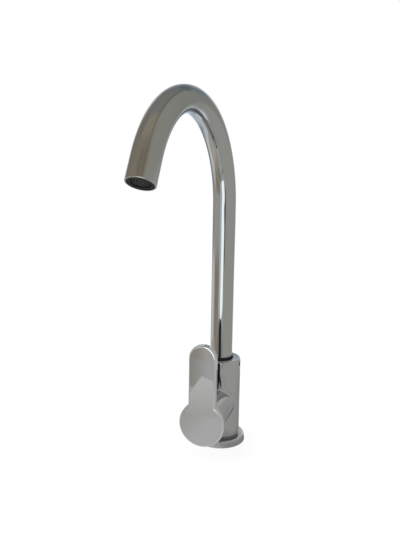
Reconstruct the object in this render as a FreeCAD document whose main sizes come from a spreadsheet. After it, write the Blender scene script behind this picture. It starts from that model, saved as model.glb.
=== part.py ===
"""Gooseneck bar faucet: one column body, a side cartridge with a flat lever, and a swivel gooseneck.

Frame: millimetres, +Z up, origin at the centre of the flange's underside, cartridge and lever towards -Y.
Cartridge and lever pieces are drawn on an axis of their own, local +Z outwards along the cartridge and
local +Y upwards. Outlet pieces are drawn on the outlet's axis, local +Z out of the spout, zero at its rim.
"""
import FreeCAD
import Part
import math
import os
import re
import Sketcher

Vector = FreeCAD.Vector
X_AXIS = Vector(1, 0, 0)
Y_AXIS = Vector(0, 1, 0)
Z_AXIS = Vector(0, 0, 1)

# ---------------------------------------------------------------- driving dimensions, in mm and degrees
DIMENSIONS = (
    # base
    ("flangeRadius", 28.7, "flange, radius where it meets the deck"),
    ("flangeShoulderRadius", 27.7, "flange, radius at the top of its leaning side"),
    ("flangeHeight", 7.5, "flange, top face above the deck"),
    ("flangeRound", 2.2, "flange, rounding of its top edge"),
    ("flangeBore", 18.1, "flange, bore that takes the body's spigot"),
    ("gasketInner", 22.6, "deck gasket, inner radius"),
    ("gasketOuter", 25.6, "deck gasket, outer radius"),
    ("gasketHeight", 1.8, "deck gasket, height in its groove"),
    ("seatRingRadius", 21.3, "seat ring, outer radius"),
    ("seatRingHeight", 3.0, "seat ring, height of the dark gap under the body"),
    # body casting
    ("bodyRadius", 22.0, "column body, radius"),
    ("bodyHeight", 97.5, "column body, top above the deck"),
    ("bodyRound", 2.5, "column body, rounding of its top edge"),
    ("spigotRadius", 18.0, "spigot inside the flange, radius"),
    ("spigotLift", 0.8, "spigot, underside above the deck"),
    ("socketRadius", 13.5, "spout socket, radius"),
    ("socketRound", 0.5, "spout socket, rounding of its mouth"),
    ("socketFloor", 66.0, "spout socket, floor above the deck"),
    ("riserRadius", 3.5, "mixed water riser, radius"),
    ("inletSpread", 7.5, "supply channels, distance either side of the middle"),
    ("inletSetback", 7.0, "supply channels, distance in front of the column axis"),
    ("inletRadius", 3.0, "supply channels, radius"),
    ("inletRise", 50.7, "supply channels, depth from the underside"),
    ("hoseSpread", 8.5, "hose sockets, distance either side of the middle"),
    ("hoseSocketRadius", 4.5, "hose sockets M10 x 1, wall radius"),
    ("hoseSocketDepth", 11.2, "hose sockets, depth"),
    ("studRadius", 3.4, "stud hole M8, wall radius"),
    ("studDepth", 15.2, "stud hole, depth"),
    ("studSetback", 9.0, "stud hole, distance behind the column axis"),
    ("stopHeight", 91.4, "spout grub screw, height above the deck"),
    ("stopRadius", 3.0, "spout grub screw M6, radius"),
    ("stopTip", 12.2, "spout grub screw, end of its dog point from the column axis"),
    ("stopDogRadius", 1.5, "spout grub screw, radius of its dog point"),
    ("stopShoulder", 14.2, "spout grub screw, start of its thread from the column axis"),
    ("stopHead", 20.2, "spout grub screw, outer end from the column axis"),
    # side boss for the cartridge
    ("axisHeight", 46.4, "cartridge axis above the deck"),
    ("bossRadius", 19.2, "cartridge boss, radius"),
    ("bossReach", 57.8, "cartridge boss, mouth from the column axis"),
    ("bossRound", 0.8, "cartridge boss, rounding of its mouth"),
    ("bossFillet", 2.8, "cartridge boss, hollow rounding where it leaves the column body"),
    ("boreRadius", 14.1, "cartridge bore, radius"),
    ("boreFloor", 21.0, "cartridge bore, floor from the column axis"),
    ("mouthRadius", 16.05, "nut thread in the boss, wall radius"),
    ("mouthFloor", 47.0, "nut thread in the boss, floor from the column axis"),
    ("portSpread", 4.8, "supply ports, distance either side of the cartridge axis"),
    ("portRise", 3.6, "supply ports, distance above the cartridge axis"),
    ("portRadius", 1.4, "supply ports, radius"),
    ("mixRadius", 2.0, "mixed water port on the cartridge axis, radius"),
    # cartridge, all stations from the column axis
    ("shellRadius", 14.0, "cartridge shell, outer radius"),
    ("shellBore", 12.0, "cartridge shell, inner radius"),
    ("shellStart", 22.0, "cartridge shell, rear end"),
    ("shellCollarRadius", 15.6, "cartridge shell, collar under the nut"),
    ("shellCollarTop", 49.0, "cartridge shell, front of the collar"),
    ("shellNeckRadius", 13.2, "cartridge shell, neck radius"),
    ("shellLipStart", 52.8, "cartridge shell, back of the front lip"),
    ("shellLipBore", 10.5, "cartridge shell, bore of the front lip"),
    ("shellTop", 53.9, "cartridge shell, front end"),
    ("baseRadius", 11.9, "cartridge base and fixed disc, radius"),
    ("baseStart", 21.1, "cartridge base, rear face"),
    ("baseTop", 27.0, "cartridge base, front face"),
    ("sealDepth", 0.9, "port seals, depth of their seats in the base"),
    ("sealSection", 0.45, "port seals, section radius"),
    ("portSealRadius", 1.9, "supply port seals, ring radius"),
    ("mixSealRadius", 2.5, "mixed port seal, ring radius"),
    ("gasketDiscRadius", 9.2, "disc gasket, radius"),
    ("discStart", 28.0, "fixed disc, rear face"),
    ("discFace", 32.0, "lapped face between the two discs"),
    ("slideRadius", 8.1, "moving disc, radius"),
    ("slideTop", 35.5, "moving disc, front face"),
    ("mixPocketRadius", 4.2, "moving disc, mixing pocket radius"),
    ("mixPocketDepth", 2.0, "moving disc, mixing pocket depth"),
    ("carrierRadius", 8.0, "disc carrier, radius"),
    ("carrierTop", 42.0, "disc carrier, front face"),
    ("carrierPocketRadius", 2.7, "disc carrier, socket for the stem's ball, radius"),
    ("carrierPocketFloor", 38.2, "disc carrier, floor of that socket"),
    ("guideRadius", 11.93, "stem guide, radius, turning in the shell"),
    ("guideStart", 43.5, "stem guide, rear end"),
    ("guideShoulder", 52.7, "stem guide, shoulder under the shell's lip"),
    ("guideNeckRadius", 10.4, "stem guide, neck radius in the shell's lip"),
    ("guideTop", 54.2, "stem guide, front end"),
    ("guideSlotWidth", 7.3, "stem guide, slot width across"),
    ("guideSlotHeight", 13.4, "stem guide, slot height along the stem's swing"),
    ("nutRadius", 16.0, "retaining nut, outer radius"),
    ("nutBore", 13.4, "retaining nut, bore"),
    ("nutStart", 49.1, "retaining nut, rear face"),
    ("nutTop", 54.5, "retaining nut, front face"),
    ("nutSlotWidth", 3.0, "retaining nut, width of its two key slots"),
    ("nutSlotDepth", 2.4, "retaining nut, depth of its two key slots"),
    ("coverStart", 54.9, "cartridge cover, rear face"),
    ("coverTop", 56.6, "cartridge cover, front face"),
    ("coverBore", 11.6, "cartridge cover, opening for the lever's hub"),
    ("coverRound", 0.8, "cartridge cover, rounding of its front edge"),
    # stem and lever
    ("pivotReach", 50.0, "stem pivot from the column axis"),
    ("pinRadius", 1.5, "pivot pin, radius"),
    ("pinHoleRadius", 1.55, "stem, hole for the pivot pin"),
    ("pinLength", 20.4, "pivot pin, length"),
    ("stemSide", 7.0, "stem, side of the square"),
    ("stemHeel", 48.0, "stem, rear end of the square"),
    ("stemTip", 70.6, "stem, front end"),
    ("stemArmRadius", 1.75, "stem, radius of the arm to its ball"),
    ("ballRadius", 2.5, "stem, ball radius"),
    ("ballArm", 9.0, "stem, ball centre behind the pivot"),
    ("leverFace", 72.4, "lever, front face from the column axis"),
    ("leverThickness", 6.5, "lever, plate thickness"),
    ("leverDiscRadius", 24.25, "lever, disc radius"),
    ("leverWidth", 29.0, "lever, tongue width"),
    ("leverTip", 84.1, "lever, tongue tip above the cartridge axis"),
    ("leverRound", 2.0, "lever, rounding of the front edge"),
    ("leverBackRound", 0.3, "lever, rounding of the back edge"),
    ("hubRadius", 7.2, "lever hub, radius"),
    ("hubStart", 58.5, "lever hub, rear end"),
    ("hubRound", 0.8, "lever hub, rounding of its rear edge"),
    ("socketSide", 7.1, "lever, side of the square socket"),
    ("screwReach", 68.35, "lever grub screw M4, station from the column axis"),
    ("screwRadius", 2.0, "lever grub screw hole, radius"),
    ("screwBodyRadius", 1.97, "lever grub screw, radius"),
    ("screwLength", 5.0, "lever grub screw, length"),
    ("plugLength", 3.0, "lever plug, length"),
    # spout
    ("tubeRadius", 12.5, "spout tube, outer radius"),
    ("tubeBore", 11.3, "spout tube, inner radius"),
    ("tubeStart", 98.9, "spout tube, lower end above the deck"),
    ("columnTop", 268.1, "spout tube, height where the arch begins"),
    ("archRadius", 96.9, "spout tube, arch radius on the centre line"),
    ("archTurn", 154.3, "spout tube, arch turn in degrees"),
    ("outletStraight", 22.6, "spout tube, straight length after the arch"),
    ("spoutTurn", -3.8, "spout, swivel of the rest pose from the lever's plane in degrees"),
    ("rimRound", 0.4, "spout tube, rounding of the outlet rim"),
    ("tubeFootRound", 0.6, "spout tube, rounding of the lower end"),
    ("footRadius", 13.45, "spout foot, radius turning in the socket"),
    ("footStart", 66.3, "spout foot, lower end above the deck"),
    ("footBore", 9.5, "spout foot, bore"),
    ("footNeckRadius", 11.3, "spout foot, neck radius inside the tube"),
    ("footShoulder", 93.6, "spout foot, shoulder under the upper slip ring"),
    ("footTop", 109.0, "spout foot, upper end above the deck"),
    ("ringGrooveRadius", 11.85, "spout O-ring grooves, floor radius"),
    ("ringGrooveWidth", 2.6, "spout O-ring grooves, width"),
    ("lowerRingHeight", 71.0, "lower spout O-ring, height above the deck"),
    ("upperRingHeight", 77.0, "upper spout O-ring, height above the deck"),
    ("ringSection", 0.79, "spout O-rings, section radius"),
    ("ringRadius", 12.66, "spout O-rings, ring radius"),
    ("bushGrooveRadius", 12.3, "spout foot, radius inside the slip rings"),
    ("bushStart", 80.6, "lower slip ring, lower face"),
    ("bushTop", 84.6, "lower slip ring, upper face"),
    ("bushInner", 12.32, "slip rings, inner radius"),
    ("bushOuter", 13.46, "slip rings, outer radius"),
    ("lockGrooveRadius", 11.8, "retaining groove, floor radius"),
    ("lockGrooveWidth", 3.4, "retaining groove, width"),
    ("collarStart", 93.7, "upper slip ring, lower face"),
    ("collarTop", 98.85, "upper slip ring, upper face"),
    # outlet, stations from the rim, negative into the tube
    ("sleeveBore", 10.2, "outlet sleeve, bore that takes the aerator"),
    ("sleeveStart", -16.0, "outlet sleeve, inner end"),
    ("sleeveEnd", -1.35, "outlet sleeve, outer end"),
    ("aeratorRadius", 10.15, "aerator housing, outer radius"),
    ("aeratorBore", 8.9, "aerator housing, bore"),
    ("aeratorStart", -13.0, "aerator housing, inner end"),
    ("aeratorEnd", -0.45, "aerator housing, outer end"),
    ("aeratorFlangeRadius", 11.2, "aerator housing, flange that covers the sleeve's end"),
    ("aeratorFlangeStart", -1.3, "aerator housing, inner face of that flange"),
    ("aeratorLipBore", 8.3, "aerator housing, bore of its outer lip"),
    ("aeratorLipStart", -1.4, "aerator housing, inner face of its lip"),
    ("gridRadius", 8.85, "aerator grid, radius"),
    ("gridStart", -5.0, "aerator grid, inner face"),
    ("gridFloor", -3.6, "aerator grid, floor between its rings"),
    ("gridEnd", -1.5, "aerator grid, outer face of its rings"),
    ("gridRing", 0.85, "aerator grid, thickness of a ring"),
    ("gridPitch", 2.05, "aerator grid, step from ring to ring"),
    ("gridHoleRadius", 0.45, "aerator grid, jet hole radius"),
    ("screenRadius", 8.8, "aerator screens, radius"),
    ("screenThickness", 0.4, "aerator screens, thickness"),
    ("outerScreen", -6.2, "outer aerator screen, station"),
    ("innerScreen", -7.8, "inner aerator screen, station"),
    ("screenHoleRadius", 0.55, "aerator screens, hole radius"),
    ("limiterStart", -12.6, "flow limiter, inner face"),
    ("limiterEnd", -9.4, "flow limiter, outer face"),
    ("limiterHoleRadius", 0.8, "flow limiter, hole radius"),
    ("limiterHoleRing", 6.2, "flow limiter, radius of its hole ring"),
    ("washerInner", 7.8, "aerator washer, inner radius"),
    ("washerStart", -14.8, "aerator washer, inner face"),
)

GRID_RINGS = 4
JET_HOLES = 12
SCREEN_RINGS = 4
LIMITER_HOLES = 8

doc = FreeCAD.newDocument("bar_faucet")
sheet = doc.addObject("Spreadsheet::Sheet", "dims")
for row, (alias, number, meaning) in enumerate(DIMENSIONS, start=1):
    sheet.set(f"A{row}", meaning)
    sheet.set(f"B{row}", str(number))
    sheet.setAlias(f"B{row}", alias)
doc.recompute()

sub_parts = []


# ---------------------------------------------------------------- ways of making the pieces
def bound(text):
    """An expression in the sheet's names, such as "bodyRadius - 1", with each name tied to the sheet."""
    return re.sub(r"\b[A-Za-z]\w*\b(?!\()", r"dims.\g<0>", text)


def size(text):
    """The value of such an expression."""
    return float(sheet.evalExpression(bound(text)))


def new_body(label):
    """A new sub-part made of features."""
    body = doc.addObject("PartDesign::Body", label)
    sub_parts.append(body)
    return body


def new_sketch(body, name, plane, station="0"):
    """A sketch on one of the body's own planes, moved along that plane's normal to a station."""
    sketch = body.newObject("Sketcher::SketchObject", name)
    origin_plane = next(item for item in body.Origin.OriginFeatures if item.Role == plane)
    sketch.AttachmentSupport = (origin_plane, [""])
    sketch.MapMode = "FlatFace"
    sketch.setExpression("AttachmentOffset.Base.z", bound(station))
    return sketch


def tie(sketch, kind, where, text):
    """A driving constraint whose value is an expression in the sheet's names."""
    index = sketch.addConstraint(Sketcher.Constraint(kind, *where, size(text)))
    sketch.setExpression(f"Constraints[{index}]", bound(text))


def draw_outline(sketch, corners):
    """A closed outline of straight lines through corners given as pairs of expressions."""
    points = [Vector(size(across), size(along), 0) for across, along in corners]
    count = len(points)
    for index in range(count):
        sketch.addGeometry(Part.LineSegment(points[index], points[(index + 1) % count]), False)
    for index in range(count):
        sketch.addConstraint(Sketcher.Constraint("Coincident", index, 2, (index + 1) % count, 1))
    for index, (across, along) in enumerate(corners):
        tie(sketch, "DistanceX", (-1, 1, index, 1), across)
        tie(sketch, "DistanceY", (-1, 1, index, 1), along)


def draw_circle(sketch, across, along, radius):
    """A circle whose centre and radius are expressions."""
    circle = Part.Circle(Vector(size(across), size(along), 0), Z_AXIS, size(radius))
    index = sketch.addGeometry(circle, False)
    tie(sketch, "Radius", (index,), radius)
    tie(sketch, "DistanceX", (-1, 1, index, 3), across)
    tie(sketch, "DistanceY", (-1, 1, index, 3), along)


def turn(body, corners):
    """Turns an outline of (radius, height) corners about the body's Z axis."""
    sketch = new_sketch(body, f"{body.Label}_profile", "XZ_Plane")
    draw_outline(sketch, corners)
    revolution = body.newObject("PartDesign::Revolution", f"{body.Label}_turned")
    revolution.Profile = sketch
    revolution.ReferenceAxis = (sketch, ["V_Axis"])
    revolution.Angle = 360
    doc.recompute()
    return revolution


def turned(label, corners):
    """A new sub-part that is one turned outline."""
    body = new_body(label)
    turn(body, corners)
    return body


def ring(label, inner, outer, low, high):
    """A new turned ring between two radii and two heights."""
    return turned(label, ((inner, low), (outer, low), (outer, high), (inner, high)))


def pad(body, name, plane, station, draw, length):
    """Pads what draw() puts in a sketch by an expression for the length, along the plane's normal."""
    sketch = new_sketch(body, f"{name}_sketch", plane, station)
    draw(sketch)
    feature = body.newObject("PartDesign::Pad", name)
    feature.Profile = sketch
    feature.setExpression("Length", bound(length))
    doc.recompute()
    return feature


def cut(body, name, plane, station, draw, depth, forward=False):
    """Pockets what draw() puts in a sketch, against the plane's normal or forward along it."""
    before = body.Shape.Volume
    sketch = new_sketch(body, f"{name}_sketch", plane, station)
    draw(sketch)
    feature = body.newObject("PartDesign::Pocket", name)
    feature.Profile = sketch
    feature.Reversed = forward
    feature.setExpression("Length", bound(depth))
    doc.recompute()
    if body.Shape.Volume > before - 0.01:
        raise RuntimeError(f"{name} cuts nothing")
    return feature


def circles(*places):
    """A drawing of circles, each (across, along, radius)."""
    def draw(sketch):
        for across, along, radius in places:
            draw_circle(sketch, across, along, radius)
    return draw


def rectangle(left, right, low, high):
    """A drawing of one rectangle."""
    def draw(sketch):
        draw_outline(sketch, ((left, low), (right, low), (right, high), (left, high)))
    return draw


def repeat_around(body, feature, count):
    """Repeats a feature evenly about the body's Z axis."""
    pattern = body.newObject("PartDesign::PolarPattern", f"{feature.Name}_around")
    pattern.Originals = [feature]
    pattern.Axis = (feature.Profile[0], ["N_Axis"])
    pattern.Angle = 360
    pattern.Occurrences = count
    body.Tip = pattern
    doc.recompute()
    return pattern


def round_edges(body, name, radius, chosen):
    """Rounds the edges of the body for which chosen(edge) is true."""
    base = body.Tip
    names = [f"Edge{number}" for number, edge in enumerate(base.Shape.Edges, start=1) if chosen(edge)]
    if not names:
        raise RuntimeError(f"{name} finds no edge")
    feature = body.newObject("PartDesign::Fillet", name)
    feature.Base = (base, names)
    feature.setExpression("Radius", bound(radius))
    doc.recompute()
    return feature


def circle_at(radius, height):
    """Chooses the round edges about the Z axis with this radius and height."""
    def chosen(edge):
        curve = edge.Curve
        if not isinstance(curve, Part.Circle):
            return False
        on_axis = math.hypot(curve.Center.x, curve.Center.y) < 0.01
        fits = abs(curve.Radius - size(radius)) < 0.01 and abs(curve.Center.z - size(height)) < 0.01
        return on_axis and fits
    return chosen


def primitive(kind, name, base, direction=Z_AXIS, **sizes):
    """A primitive solid whose sizes are expressions, standing at base and pointing along direction."""
    item = doc.addObject(kind, name)
    for key, text in sizes.items():
        item.setExpression(key, bound(text))
    item.Placement = FreeCAD.Placement(Vector(*base), FreeCAD.Rotation(Z_AXIS, direction))
    return item


def combined(kind, label, items):
    """A sub-part that joins or groups items."""
    result = doc.addObject(kind, label)
    if kind == "Part::Compound":
        result.Links = items
    else:
        result.Shapes = items
    sub_parts.append(result)
    return result


def less(label, base, tool):
    """A sub-part that is base with tool cut away."""
    result = doc.addObject("Part::Cut", label)
    result.Base = base
    result.Tool = tool
    sub_parts.append(result)
    return result


# ---------------------------------------------------------------- base: flange, gasket and seat ring
def make_base():
    flange = turned("base_flange", (
        ("flangeBore", "0"),
        ("gasketInner", "0"),
        ("gasketInner", "gasketHeight"),
        ("gasketOuter", "gasketHeight"),
        ("gasketOuter", "0"),
        ("flangeRadius", "0"),
        ("flangeShoulderRadius", "flangeHeight"),
        ("flangeBore", "flangeHeight"),
    ))
    round_edges(flange, "flange_top_round", "flangeRound", circle_at("flangeShoulderRadius", "flangeHeight"))
    ring("base_gasket", "gasketInner + 0.05", "gasketOuter - 0.05", "0", "gasketHeight - 0.05")
    ring("body_seat_ring", "spigotRadius + 0.05", "seatRingRadius",
         "flangeHeight", "flangeHeight + seatRingHeight")


# ---------------------------------------------------------------- body: one casting with its waterways
def make_body():
    body = turned("body_casting", (
        ("0", "spigotLift"),
        ("spigotRadius", "spigotLift"),
        ("spigotRadius", "flangeHeight + seatRingHeight"),
        ("bodyRadius", "flangeHeight + seatRingHeight"),
        ("bodyRadius", "bodyHeight"),
        ("0", "bodyHeight"),
    ))
    round_edges(body, "body_top_round", "bodyRound", circle_at("bodyRadius", "bodyHeight"))
    pad(body, "boss", "XZ_Plane", "0", circles(("0", "axisHeight", "bossRadius")), "bossReach")

    def at_mouth(edge):
        mid = edge.CenterOfMass
        return isinstance(edge.Curve, Part.Circle) and abs(mid.y + size("bossReach")) < 0.01

    def at_column(edge):
        box = edge.BoundBox
        leaves_boss = abs(box.XLength - 2 * size("bossRadius")) < 0.1
        return leaves_boss and box.YMax < 0 and box.YMin > -size("bodyRadius") - 0.1

    round_edges(body, "boss_mouth_round", "bossRound", at_mouth)
    round_edges(body, "boss_foot_fillet", "bossFillet", at_column)

    # spout socket and the riser below it
    cut(body, "spout_socket", "XY_Plane", "bodyHeight",
        circles(("0", "0", "socketRadius")), "bodyHeight - socketFloor")
    round_edges(body, "socket_mouth_round", "socketRound", circle_at("socketRadius", "bodyHeight"))
    cut(body, "riser", "XY_Plane", "bodyHeight",
        circles(("0", "0", "riserRadius")), "bodyHeight - axisHeight + riserRadius")

    # cartridge bore, and the wider mouth that holds the nut and the cover
    cut(body, "nut_thread", "XZ_Plane", "bossReach",
        circles(("0", "axisHeight", "mouthRadius")), "bossReach - mouthFloor")
    cut(body, "cartridge_bore", "XZ_Plane", "bossReach",
        circles(("0", "axisHeight", "boreRadius")), "bossReach - boreFloor")

    # hose sockets, supply channels and stud hole from the underside
    cut(body, "hose_sockets", "XY_Plane", "spigotLift", circles(
        ("hoseSpread", "-inletSetback", "hoseSocketRadius"),
        ("-hoseSpread", "-inletSetback", "hoseSocketRadius"),
    ), "hoseSocketDepth", forward=True)
    cut(body, "supply_channels", "XY_Plane", "spigotLift", circles(
        ("inletSpread", "-inletSetback", "inletRadius"),
        ("-inletSpread", "-inletSetback", "inletRadius"),
    ), "inletRise", forward=True)
    cut(body, "stud_hole", "XY_Plane", "spigotLift",
        circles(("0", "studSetback", "studRadius")), "studDepth", forward=True)

    # ports from the cartridge bore back to the supply channels and to the riser
    cut(body, "supply_ports", "XZ_Plane", "boreFloor", circles(
        ("portSpread", "axisHeight + portRise", "portRadius"),
        ("-portSpread", "axisHeight + portRise", "portRadius"),
    ), "boreFloor - inletSetback + inletRadius")
    cut(body, "mixed_port", "XZ_Plane", "boreFloor",
        circles(("0", "axisHeight", "mixRadius")), "boreFloor")

    # hole for the grub screw that keeps the spout
    cut(body, "stop_hole", "YZ_Plane", "bodyRadius + 1",
        circles(("0", "stopHeight", "stopRadius")), "bodyRadius + 1 - socketRadius + 0.5")


def make_spout_screw():
    """Grub screw across the column, its dog point in the spout's retaining groove, hexagon outside."""
    screw = turned("spout_grub_screw", (
        ("0", "stopTip"),
        ("stopDogRadius", "stopTip"),
        ("stopDogRadius", "stopShoulder"),
        ("stopRadius - 0.03", "stopShoulder"),
        ("stopRadius - 0.03", "stopHead"),
        ("0", "stopHead"),
    ))
    cut(screw, "screw_key", "XY_Plane", "stopHead",
        rectangle("-stopDogRadius * 0.8", "stopDogRadius * 0.8", "-stopDogRadius * 0.8", "stopDogRadius * 0.8"),
        "2.5")
    screw.Placement = FreeCAD.Placement(
        Vector(0, 0, size("stopHeight")), FreeCAD.Rotation(Y_AXIS, 90))


# ---------------------------------------------------------------- cartridge
def on_cartridge(item):
    """Moves a piece drawn on the cartridge's own axis into the boss."""
    item.Placement = FreeCAD.Placement(
        Vector(0, 0, size("axisHeight")), FreeCAD.Rotation(X_AXIS, 90)) * item.Placement


def port_circles(supply_radius, mix_radius):
    """The two supply ports and the mixed port, with the given radii."""
    return circles(
        ("portSpread", "portRise", supply_radius),
        ("-portSpread", "portRise", supply_radius),
        ("0", "0", mix_radius),
    )


def make_cartridge_shell():
    shell = turned("cartridge_shell", (
        ("shellBore", "shellStart"),
        ("shellRadius", "shellStart"),
        ("shellRadius", "mouthFloor"),
        ("shellCollarRadius", "mouthFloor"),
        ("shellCollarRadius", "shellCollarTop"),
        ("shellNeckRadius", "shellCollarTop"),
        ("shellNeckRadius", "shellTop"),
        ("shellLipBore", "shellTop"),
        ("shellLipBore", "shellLipStart"),
        ("shellBore", "shellLipStart"),
    ))
    on_cartridge(shell)

    base = turned("cartridge_base", (
        ("0", "baseStart"), ("baseRadius", "baseStart"), ("baseRadius", "baseTop"), ("0", "baseTop")))
    cut(base, "seal_seats", "XY_Plane", "baseStart",
        port_circles("portSealRadius + sealSection", "mixSealRadius + sealSection"),
        "sealDepth", forward=True)
    cut(base, "base_ports", "XY_Plane", "baseTop",
        port_circles("portRadius", "mixRadius"), "baseTop - baseStart")
    on_cartridge(base)

    seals = []
    for side, name in ((1, "cold"), (-1, "hot")):
        seals.append(primitive(
            "Part::Torus", f"{name}_seal", (side * size("portSpread"), size("portRise"), size("baseStart + 0.45")),
            Radius1="portSealRadius", Radius2="sealSection"))
    seals.append(primitive(
        "Part::Torus", "mixed_seal", (0, 0, size("baseStart + 0.45")),
        Radius1="mixSealRadius", Radius2="sealSection"))
    on_cartridge(combined("Part::Compound", "port_seals", seals))


def make_cartridge_discs():
    gasket = turned("disc_gasket", (
        ("0", "baseTop"), ("gasketDiscRadius", "baseTop"), ("gasketDiscRadius", "discStart"), ("0", "discStart")))
    cut(gasket, "gasket_ports", "XY_Plane", "discStart",
        port_circles("portRadius", "mixRadius"), "discStart - baseTop")
    on_cartridge(gasket)

    fixed = turned("fixed_disc", (
        ("0", "discStart"), ("baseRadius", "discStart"), ("baseRadius", "discFace"), ("0", "discFace")))
    cut(fixed, "fixed_ports", "XY_Plane", "discFace",
        port_circles("portRadius", "mixRadius"), "discFace - discStart")
    on_cartridge(fixed)

    moving = turned("moving_disc", (
        ("0", "discFace"), ("slideRadius", "discFace"), ("slideRadius", "slideTop"), ("0", "slideTop")))
    cut(moving, "mixing_pocket", "XY_Plane", "discFace",
        circles(("0", "0", "mixPocketRadius")), "mixPocketDepth", forward=True)
    on_cartridge(moving)

    carrier = turned("disc_carrier", (
        ("0", "slideTop"), ("carrierRadius", "slideTop"), ("carrierRadius", "carrierTop"), ("0", "carrierTop")))
    cut(carrier, "ball_socket", "XY_Plane", "carrierTop",
        circles(("0", "0", "carrierPocketRadius")), "carrierTop - carrierPocketFloor")
    on_cartridge(carrier)


def make_stem_guide():
    guide = turned("stem_guide", (
        ("0", "guideStart"),
        ("guideRadius", "guideStart"),
        ("guideRadius", "guideShoulder"),
        ("guideNeckRadius", "guideShoulder"),
        ("guideNeckRadius", "guideTop"),
        ("0", "guideTop"),
    ))
    cut(guide, "stem_slot", "XY_Plane", "guideTop",
        rectangle("-guideSlotWidth / 2", "guideSlotWidth / 2", "-guideSlotHeight / 2", "guideSlotHeight / 2"),
        "guideTop - guideStart")
    cut(guide, "guide_pin_hole", "YZ_Plane", "guideRadius",
        circles(("0", "pivotReach", "pinRadius")), "guideRadius * 2")
    on_cartridge(guide)

    pin = primitive("Part::Cylinder", "stem_pivot_pin", (-size("pinLength / 2"), 0, size("pivotReach")), X_AXIS,
                    Radius="pinRadius", Height="pinLength")
    sub_parts.append(pin)
    on_cartridge(pin)


def make_nut_and_cover():
    nut = ring("retaining_nut", "nutBore", "nutRadius", "nutStart", "nutTop")
    cut(nut, "key_slots", "XY_Plane", "nutTop",
        rectangle("-nutSlotWidth / 2", "nutSlotWidth / 2", "-nutRadius - 1", "nutRadius + 1"), "nutSlotDepth")
    on_cartridge(nut)

    cover = ring("cartridge_cover", "coverBore", "nutRadius", "coverStart", "coverTop")
    round_edges(cover, "cover_round", "coverRound", circle_at("nutRadius", "coverTop"))
    on_cartridge(cover)


# ---------------------------------------------------------------- stem and lever
def make_stem():
    """Square stem with a thin arm and a ball behind its pivot, drilled across for the pin."""
    ball_station = size("pivotReach - ballArm")
    square = primitive("Part::Box", "stem_square",
                       (-size("stemSide / 2"), -size("stemSide / 2"), size("stemHeel")),
                       Length="stemSide", Width="stemSide", Height="stemTip - stemHeel")
    arm = primitive("Part::Cylinder", "stem_arm", (0, 0, ball_station),
                    Radius="stemArmRadius", Height="stemHeel - pivotReach + ballArm + 1")
    ball = primitive("Part::Sphere", "stem_ball", (0, 0, ball_station), Radius="ballRadius")
    blank = doc.addObject("Part::MultiFuse", "stem_blank")
    blank.Shapes = [square, arm, ball]
    hole = primitive("Part::Cylinder", "stem_pin_hole", (-size("stemSide"), 0, size("pivotReach")), X_AXIS,
                     Radius="pinHoleRadius", Height="stemSide * 2")
    on_cartridge(less("stem", blank, hole))


def make_lever():
    """Flat lever: a disc over the cartridge and a round-ended tongue, with a square-holed hub behind."""
    lever = new_body("lever_handle")
    back = "leverFace - leverThickness"
    pad(lever, "lever_disc", "XY_Plane", back, circles(("0", "0", "leverDiscRadius")), "leverThickness")
    pad(lever, "lever_tongue", "XY_Plane", back,
        rectangle("-leverWidth / 2", "leverWidth / 2", "0", "leverTip - leverWidth / 2"), "leverThickness")
    pad(lever, "lever_end", "XY_Plane", back,
        circles(("0", "leverTip - leverWidth / 2", "leverWidth / 2")), "leverThickness")

    def on_face(text):
        def chosen(edge):
            box = edge.BoundBox
            return abs(box.ZMin - size(text)) < 0.01 and abs(box.ZMax - size(text)) < 0.01
        return chosen

    round_edges(lever, "lever_front_round", "leverRound", on_face("leverFace"))
    round_edges(lever, "lever_back_round", "leverBackRound", on_face(back))
    pad(lever, "lever_hub", "XY_Plane", "hubStart",
        circles(("0", "0", "hubRadius")), "leverFace - leverThickness - hubStart")
    round_edges(lever, "lever_hub_round", "hubRound", circle_at("hubRadius", "hubStart"))
    cut(lever, "stem_socket", "XY_Plane", "hubStart",
        rectangle("-socketSide / 2", "socketSide / 2", "-socketSide / 2", "socketSide / 2"),
        "stemTip - hubStart + 0.1", forward=True)
    # the XZ plane's normal points down here, so the screw hole runs back from the disc's lower edge
    cut(lever, "screw_hole", "XZ_Plane", "leverDiscRadius + 1",
        circles(("0", "screwReach", "screwRadius")), "leverDiscRadius + 1 - socketSide / 2 + 0.3")
    on_cartridge(lever)

    screw_end = size("-socketSide / 2 - 0.05")
    screw = primitive("Part::Cylinder", "lever_grub_screw", (0, screw_end, size("screwReach")), -Y_AXIS,
                      Radius="screwBodyRadius", Height="screwLength")
    sub_parts.append(screw)
    on_cartridge(screw)

    plug_end = size("leverDiscRadius - 0.3 - plugLength")
    plug = primitive("Part::Cylinder", "lever_plug", (0, -plug_end, size("screwReach")), -Y_AXIS,
                     Radius="screwBodyRadius", Height="plugLength")
    sub_parts.append(plug)
    on_cartridge(plug)


# ---------------------------------------------------------------- spout
def swivel():
    """The spout's swivel about the column at rest."""
    return FreeCAD.Placement(Vector(), FreeCAD.Rotation(Z_AXIS, size("spoutTurn")))


def on_spout(item):
    item.Placement = swivel() * item.Placement


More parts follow.
